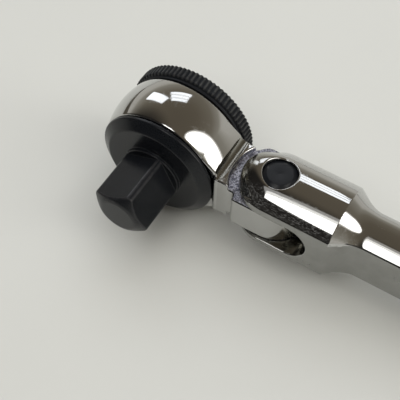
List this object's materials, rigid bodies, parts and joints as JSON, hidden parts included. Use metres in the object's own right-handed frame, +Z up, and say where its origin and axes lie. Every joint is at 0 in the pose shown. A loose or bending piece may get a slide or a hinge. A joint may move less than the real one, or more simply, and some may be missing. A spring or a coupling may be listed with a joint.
{
  "type": "flex head ratchet",
  "caption": "Ratchet handle with a round reversing head that swings on a hinge pin in a forked, flat-sided steel handle, with a square drive on the head.",
  "frame": {"origin": "centre of the drive square's flat end face", "axes": "+X along the handle, -Y out of the drive square, +Z up and parallel to the hinge pin, with the tool lying on its side"},
  "size_m": [0.2683, 0.0396, 0.0376],
  "materials": {
    "chrome": "polished chrome plate on forged steel",
    "black_steel": "satin black oxide on machined steel",
    "steel": "plain hardened steel",
    "bronze": "plain bearing bronze",
    "rubber": "matt black seal rubber"
  },
  "bodies": {
    "handle": {"handle": "chrome", "hinge_pin": "black_steel", "flex_spring": "steel"},
    "plunger": {"flex_plunger": "steel"},
    "head": {"head_body": "chrome", "tooth_ring": "steel", "dial_washer": "bronze"},
    "drive": {"drive_anvil": "black_steel", "front_seal": "rubber", "drive_ball_spring": "steel", "pawl_pin_right": "steel", "pawl_pin_left": "steel", "pawl_spring_right": "steel", "pawl_spring_left": "steel", "carrier_plate": "steel", "detent_spring": "steel", "dial_snap_ring": "steel"},
    "drive_ball": {"drive_ball": "steel"},
    "detent_ball": {"detent_ball": "steel"},
    "pawl_right": {"pawl_right": "steel"},
    "pawl_left": {"pawl_left": "steel"},
    "dial": {"reverse_dial": "black_steel", "shift_pin": "steel"}
  },
  "joints": [
    {"name": "head_flex", "type": "hinge", "parent": "handle", "child": "head", "pos_m": [0.033, 0.0267, 0], "axis": [0, 0, 1], "range_deg": [-85, 85]},
    {"name": "plunger_slide", "type": "slide", "parent": "handle", "child": "plunger", "axis": [1, 0, 0], "range_m": [0, 0.001], "stiffness_N_per_m": 2000, "deforming": ["flex_spring"]},
    {"name": "drive_spin", "type": "hinge", "parent": "head", "child": "drive", "pos_m": [0, 0.0267, 0], "axis": [0, 1, 0], "continuous": true},
    {"name": "dial_turn", "type": "hinge", "parent": "drive", "child": "dial", "pos_m": [0, 0.0374, 0], "axis": [0, 1, 0], "range_deg": [0, 36]},
    {"name": "pawl_right_swing", "type": "hinge", "parent": "drive", "child": "pawl_right", "pos_m": [0.00541, 0.0275, 0.00865], "axis": [0, 1, 0], "range_deg": [0, 12], "deforming": ["pawl_spring_right"]},
    {"name": "pawl_left_swing", "type": "hinge", "parent": "drive", "child": "pawl_left", "pos_m": [-0.00541, 0.0275, 0.00865], "axis": [0, 1, 0], "range_deg": [0, 12], "deforming": ["pawl_spring_left"]},
    {"name": "drive_ball_press", "type": "slide", "parent": "drive", "child": "drive_ball", "axis": [0.9171, 0, 0.3987], "range_m": [0, 0.001], "stiffness_N_per_m": 1500, "deforming": ["drive_ball_spring"]},
    {"name": "detent_ball_press", "type": "slide", "parent": "drive", "child": "detent_ball", "axis": [0, -1, 0], "range_m": [0, 0.0006], "stiffness_N_per_m": 1500, "deforming": ["detent_spring"]}
  ],
  "couplings": [
    {"joint": "pawl_right_swing", "follows": "dial_turn", "ratio": 0.33333},
    {"joint": "pawl_left_swing", "follows": "dial_turn", "ratio": 0.33333}
  ]
}
